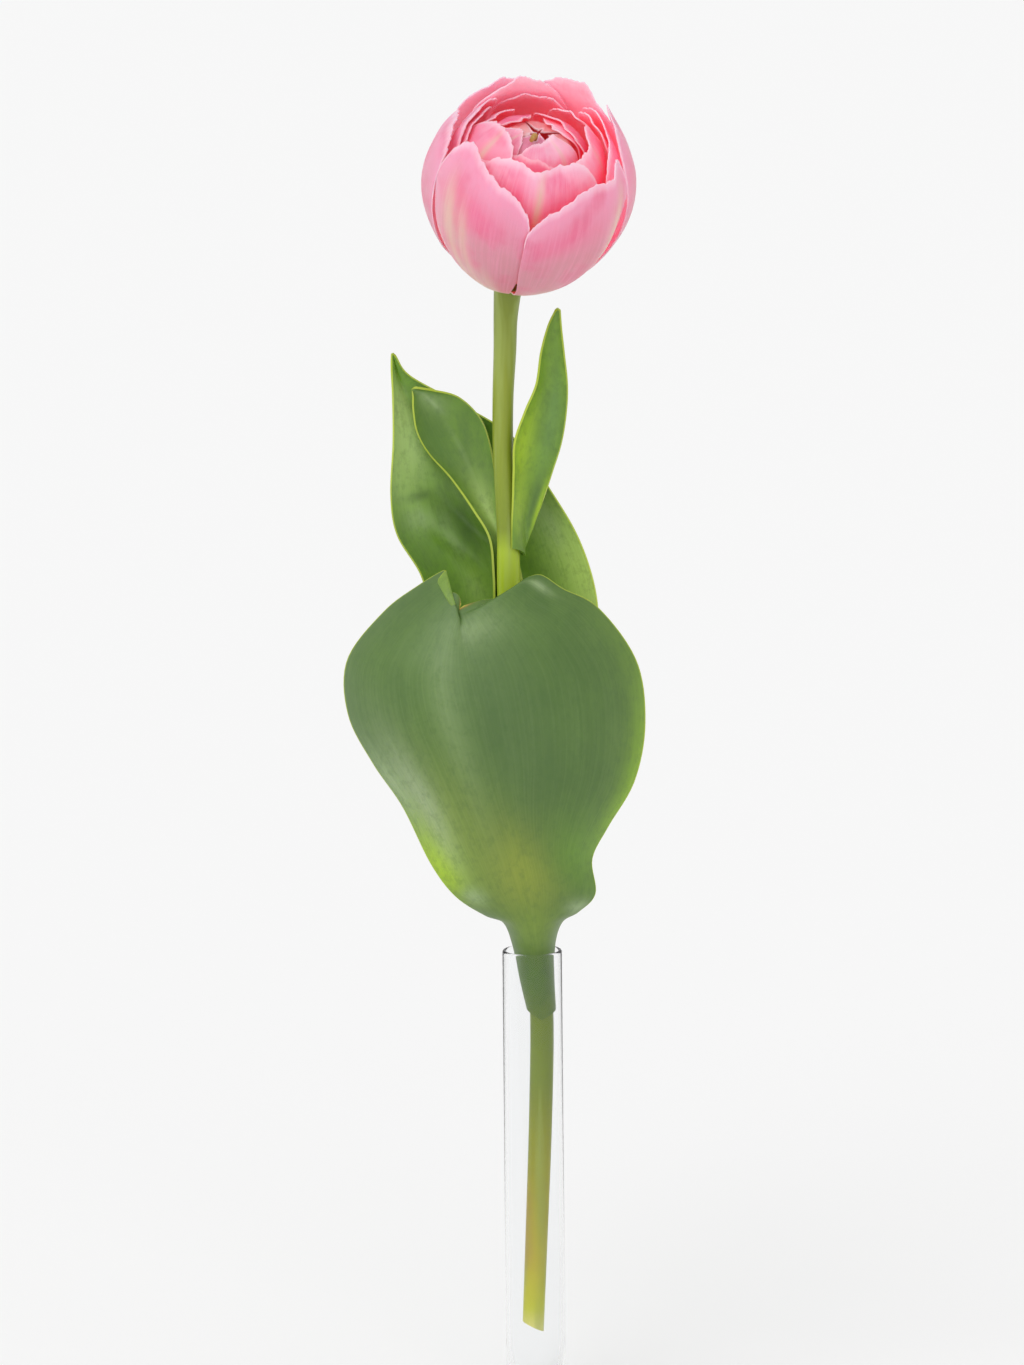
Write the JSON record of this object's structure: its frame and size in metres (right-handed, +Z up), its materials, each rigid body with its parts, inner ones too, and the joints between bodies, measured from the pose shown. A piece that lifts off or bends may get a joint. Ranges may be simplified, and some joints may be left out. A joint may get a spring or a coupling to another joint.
{
  "type": "cut tulip in a tube vase",
  "caption": "Cut double tulip with clasping leaves, standing in a narrow clear glass tube vase with a flat base.",
  "frame": {"origin": "middle of the vase's flat base, on the surface it stands on", "axes": "+Z up along the vase, front (the side of the broad leaf and the lean of the bloom) towards -Y"},
  "size_m": [0.0908, 0.0648, 0.4056],
  "materials": {
    "clear_glass": "polished",
    "stem_green": "satin",
    "leaf_green": "satin",
    "petal_pink": "satin",
    "anther_yellow": "matte"
  },
  "bodies": {
    "root": {"glass_vase": "clear_glass", "stem": "stem_green", "leaf_broad": "leaf_green", "leaf_back": "leaf_green", "leaf_left": "leaf_green", "leaf_right": "leaf_green", "petal_front_left": "petal_pink", "petal_front_right": "petal_pink", "petal_back_left": "petal_pink", "petal_far_left": "petal_pink", "petal_far_right": "petal_pink", "petal_back_right": "petal_pink", "petal_back": "petal_pink", "petal_front": "petal_pink", "petal_inner_right": "petal_pink", "petal_inner_left": "petal_pink", "petal_second_back": "petal_pink", "petal_second_left": "petal_pink", "petal_second_right": "petal_pink", "petal_side_left": "petal_pink", "petal_side_right": "petal_pink", "petal_third_right": "petal_pink", "petal_third_left": "petal_pink", "petal_corner_left": "petal_pink", "petal_inner_front": "petal_pink", "bud_petal_left": "petal_pink", "bud_petal_back": "petal_pink", "bud_petal_right": "petal_pink", "bud_petal_front_left": "petal_pink", "bud_petal_front_right": "petal_pink", "petaloid_back": "petal_pink", "petaloid_left": "petal_pink", "petaloid_right": "petal_pink", "anther": "anther_yellow"}
  },
  "joints": []
}
